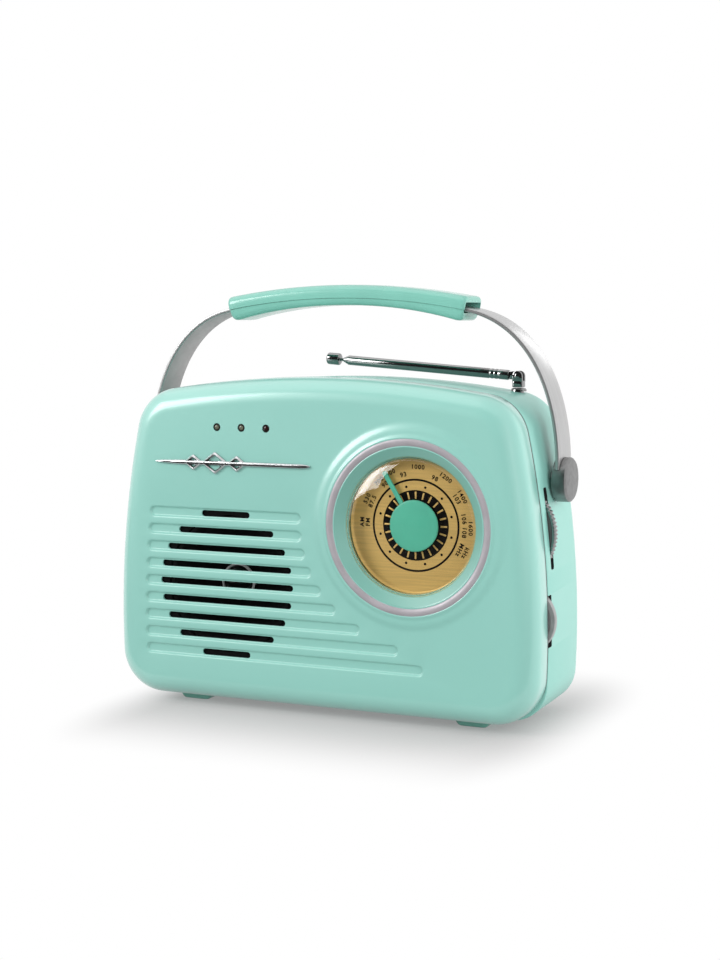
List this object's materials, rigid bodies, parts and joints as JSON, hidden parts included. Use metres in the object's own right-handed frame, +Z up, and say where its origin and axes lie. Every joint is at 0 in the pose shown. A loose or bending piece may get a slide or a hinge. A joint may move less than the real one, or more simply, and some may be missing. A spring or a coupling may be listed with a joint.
{
  "type": "portable radio",
  "caption": "Portable radio with a rounded mint case, slotted speaker front, round tuning dial, swinging carry handle, side wheels and a folding telescopic antenna.",
  "frame": {"origin": "under the middle of the radio, on the surface that its feet stand on", "axes": "+X to the right seen from the front, +Y to the back, +Z up; the dial faces -Y"},
  "size_m": [0.2658, 0.096, 0.2426],
  "materials": {
    "case_mint": "glossy painted plastic",
    "grip_mint": "satin plastic",
    "grey_plastic": "silver-grey satin plastic",
    "clear_lens": "clear polished plastic",
    "gold_plate": "gold lacquered sheet",
    "white_plastic": "natural moulded plastic",
    "steel": "zinc plated steel",
    "magnet": "dark ferrite",
    "lamp": "smoked lamp lens",
    "chrome_plastic": "chrome plated plastic",
    "black_plastic": "matt black",
    "copper": "enamelled copper wire",
    "board": "green circuit board",
    "cell": "plain dark battery jacket",
    "contact": "sprung brass strip",
    "handle_metal": "satin aluminium",
    "antenna_chrome": "polished chrome"
  },
  "bodies": {
    "case": {"front_shell": "case_mint", "rear_shell": "case_mint", "seam_trim": "grey_plastic", "foot_front_left": "grip_mint", "foot_front_right": "grip_mint", "foot_rear_left": "grip_mint", "foot_rear_right": "grip_mint", "bezel_ring": "grey_plastic", "dial_lens": "clear_lens", "dial_plate": "gold_plate", "gear_bracket": "white_plastic", "tuning_pot": "white_plastic", "volume_pot": "steel", "lamp_left": "lamp", "lamp_middle": "lamp", "lamp_right": "lamp", "front_ornament": "chrome_plastic", "speaker_frame": "steel", "speaker_cone": "black_plastic", "speaker_dust_cap": "black_plastic", "speaker_magnet": "magnet", "circuit_board": "board", "ferrite_rod": "magnet", "ferrite_coil": "copper", "battery_tray": "black_plastic", "battery_upper_left": "cell", "battery_upper_right": "cell", "battery_lower_left": "cell", "battery_lower_right": "cell", "battery_contact_left": "contact", "battery_contact_right": "contact", "mains_inlet": "black_plastic", "usb_socket": "steel", "aux_socket": "black_plastic", "case_screw_upper_left": "steel", "case_screw_upper_right": "steel", "case_screw_lower_left": "steel", "case_screw_lower_right": "steel", "pivot_pin_left": "steel", "pivot_pin_right": "steel", "antenna_base": "antenna_chrome"},
    "handle": {"handle_strap": "handle_metal", "grip_upper": "grip_mint", "grip_lower": "grip_mint", "handle_drum_left": "handle_metal", "handle_drum_right": "handle_metal"},
    "tuning": {"tuning_wheel": "grey_plastic", "tuning_pinion": "white_plastic"},
    "dial": {"dial_pointer": "grip_mint", "dial_gear": "white_plastic", "dial_shaft": "steel"},
    "volume": {"volume_wheel": "grey_plastic"},
    "door": {"battery_door": "case_mint"},
    "slider": {"band_slider": "black_plastic"},
    "button": {"source_button": "grey_plastic"},
    "antenna_knuckle": {"antenna_knuckle": "antenna_chrome"},
    "antenna_outer": {"antenna_tube_outer": "antenna_chrome"},
    "antenna_middle": {"antenna_tube_middle": "antenna_chrome"},
    "antenna_inner": {"antenna_tube_inner": "antenna_chrome"},
    "antenna_rod": {"antenna_rod": "antenna_chrome"}
  },
  "joints": [
    {"name": "handle_swing", "type": "hinge", "parent": "case", "child": "handle", "pos_m": [0, 0.008, 0.1356], "axis": [1, 0, 0], "range_deg": [-90, 65]},
    {"name": "tuning_turn", "type": "hinge", "parent": "case", "child": "tuning", "pos_m": [0.10082, -0.01, 0.1071], "axis": [0, 1, 0], "range_deg": [-278, 100]},
    {"name": "pointer_turn", "type": "hinge", "parent": "case", "child": "dial", "pos_m": [0.057, -0.03, 0.1111], "axis": [0, 1, 0], "range_deg": [-48, 131]},
    {"name": "volume_turn", "type": "hinge", "parent": "case", "child": "volume", "pos_m": [0.11359, -0.016, 0.0608], "axis": [0, 1, 0], "range_deg": [-150, 150]},
    {"name": "door_open", "type": "hinge", "parent": "case", "child": "door", "pos_m": [0, 0.048, 0.0267], "axis": [-1, 0, 0], "range_deg": [0, 90]},
    {"name": "band_slide", "type": "slide", "parent": "case", "child": "slider", "axis": [1, 0, 0], "range_m": [-0.004, 0.004]},
    {"name": "button_press", "type": "slide", "parent": "case", "child": "button", "axis": [0, -1, 0], "range_m": [0, 0.0015], "stiffness_N_per_m": 600},
    {"name": "antenna_swivel", "type": "hinge", "parent": "case", "child": "antenna_knuckle", "pos_m": [0.095, 0.026, 0.185], "axis": [0, 0, 1], "range_deg": [-180, 100]},
    {"name": "antenna_fold", "type": "hinge", "parent": "antenna_knuckle", "child": "antenna_outer", "pos_m": [0.095, 0.026, 0.19133], "axis": [0, 1, 0], "range_deg": [0, 85.8]},
    {"name": "antenna_draw_middle", "type": "slide", "parent": "antenna_outer", "child": "antenna_middle", "axis": [-0.9973, 0, 0.0732], "range_m": [0, 0.09]},
    {"name": "antenna_draw_inner", "type": "slide", "parent": "antenna_middle", "child": "antenna_inner", "axis": [-0.9973, 0, 0.0732], "range_m": [0, 0.09]},
    {"name": "antenna_draw_rod", "type": "slide", "parent": "antenna_inner", "child": "antenna_rod", "axis": [-0.9973, 0, 0.0732], "range_m": [0, 0.09]}
  ],
  "couplings": [
    {"joint": "pointer_turn", "follows": "tuning_turn", "ratio": -0.46667}
  ]
}
